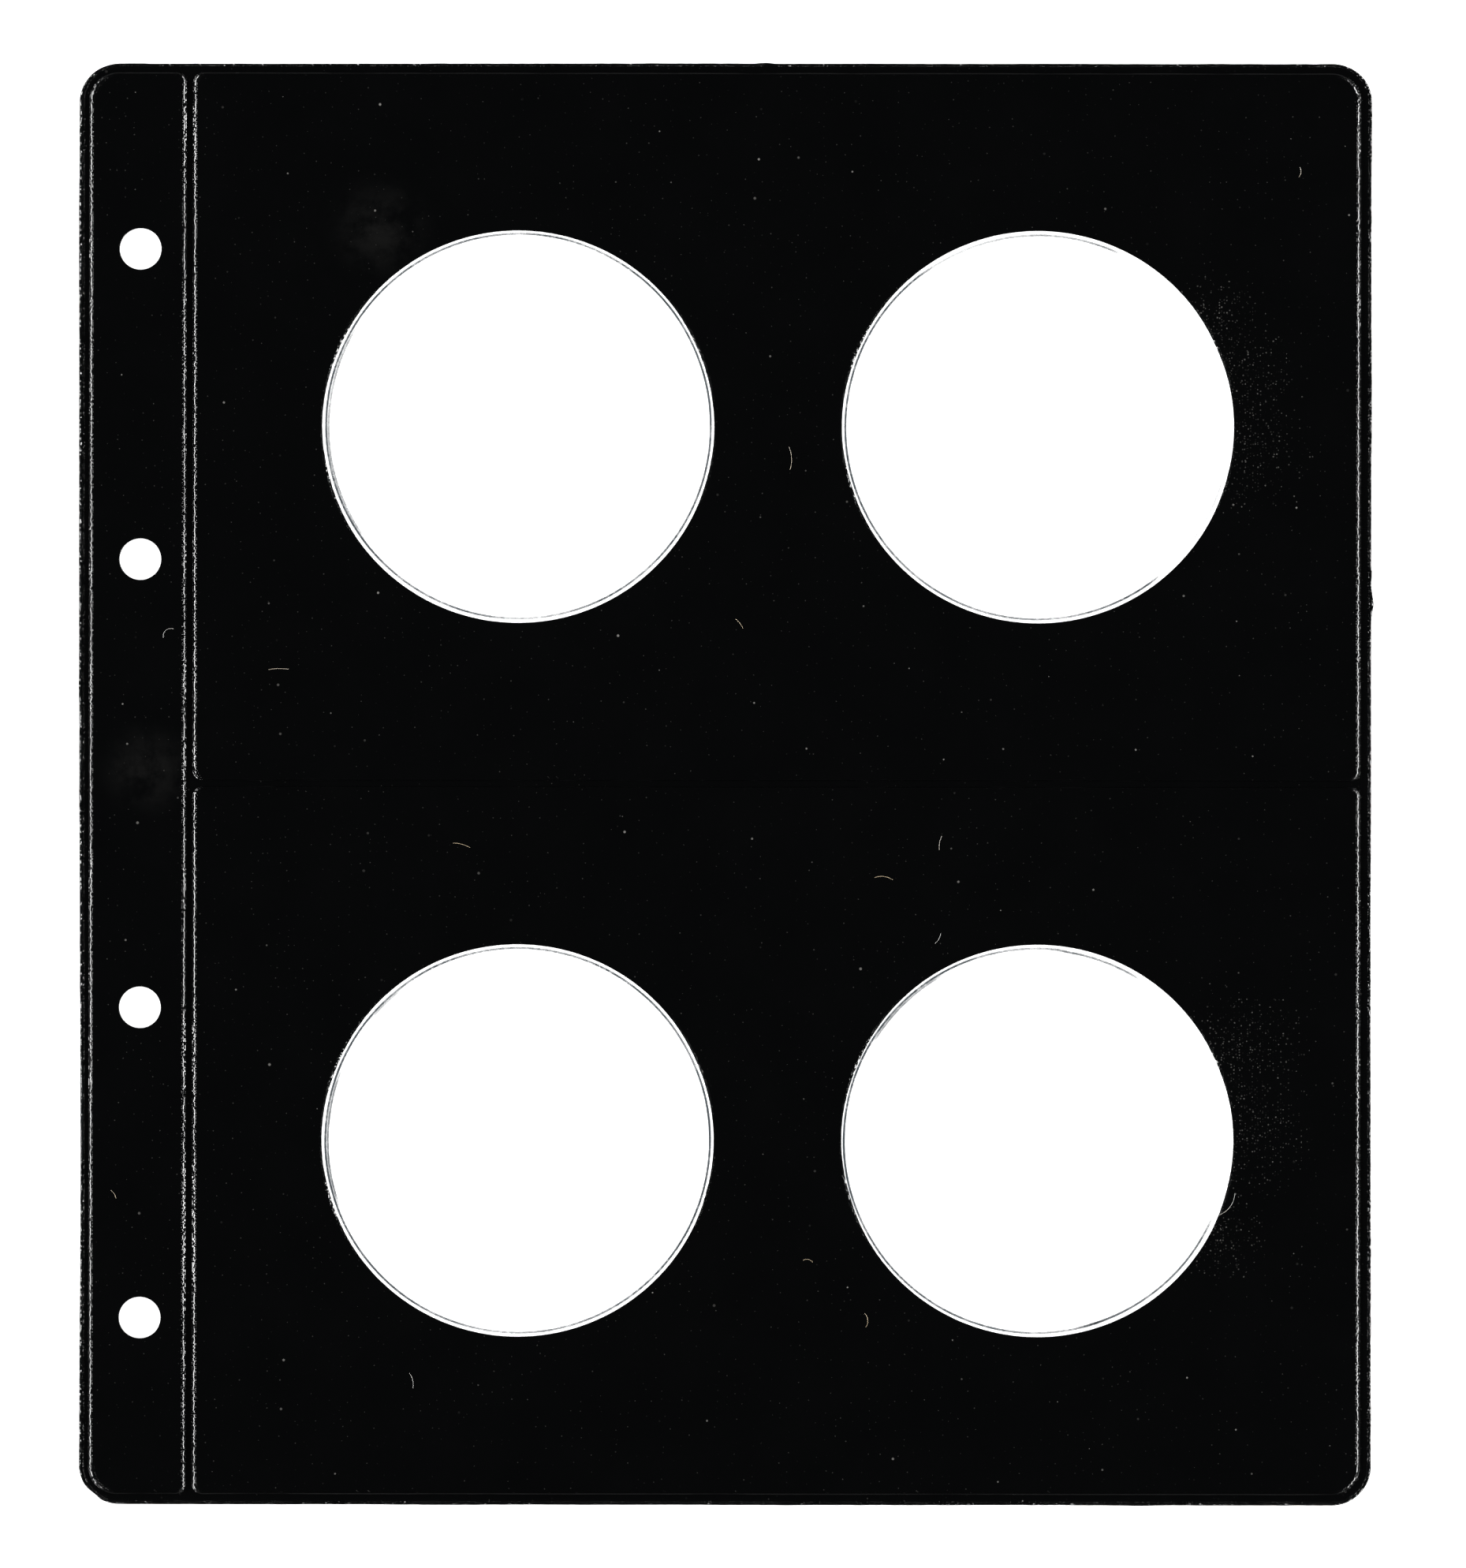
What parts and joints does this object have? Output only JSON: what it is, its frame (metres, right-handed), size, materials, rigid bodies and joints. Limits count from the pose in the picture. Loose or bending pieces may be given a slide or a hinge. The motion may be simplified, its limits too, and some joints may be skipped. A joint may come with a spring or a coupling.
{
  "type": "coin album page",
  "caption": "Black vinyl album page for a ring binder: punched binding strip, hinged leaf with round clear windows over two wide pockets, and loading flaps on the back.",
  "frame": {"origin": "middle of the back face that the page lies on", "axes": "+X across the page away from the binding, +Y up the page along the binding, +Z out of the front face"},
  "size_m": [0.187, 0.209, 0.0012],
  "materials": {
    "black_vinyl": "smooth calendered vinyl, semi-gloss",
    "clear_film": "clear glossy film"
  },
  "bodies": {
    "binding_strip": {"strip_front_sheet": "black_vinyl", "strip_back_sheet": "black_vinyl", "binding_weld": "black_vinyl"},
    "leaf": {"leaf_front_sheet": "black_vinyl", "leaf_back_sheet": "black_vinyl", "front_film_top_left": "clear_film", "front_film_top_right": "clear_film", "front_film_bottom_left": "clear_film", "front_film_bottom_right": "clear_film", "back_film_top_left": "clear_film", "back_film_top_right": "clear_film", "back_film_bottom_left": "clear_film", "back_film_bottom_right": "clear_film"},
    "top_pocket_flap": {"top_flap": "black_vinyl"},
    "bottom_pocket_flap": {"bottom_flap": "black_vinyl"}
  },
  "joints": [
    {"name": "leaf_turn", "type": "hinge", "parent": "binding_strip", "child": "leaf", "pos_m": [-0.0777, 0, 0.0006], "axis": [0, -1, 0], "range_deg": [0, 90]},
    {"name": "top_flap_lift", "type": "hinge", "parent": "leaf", "child": "top_pocket_flap", "pos_m": [0.00745, 0.10154, 0], "axis": [1, 0, 0], "range_deg": [0, 150]},
    {"name": "bottom_flap_lift", "type": "hinge", "parent": "leaf", "child": "bottom_pocket_flap", "pos_m": [0.00745, -0.002, 0], "axis": [1, 0, 0], "range_deg": [0, 150]}
  ]
}
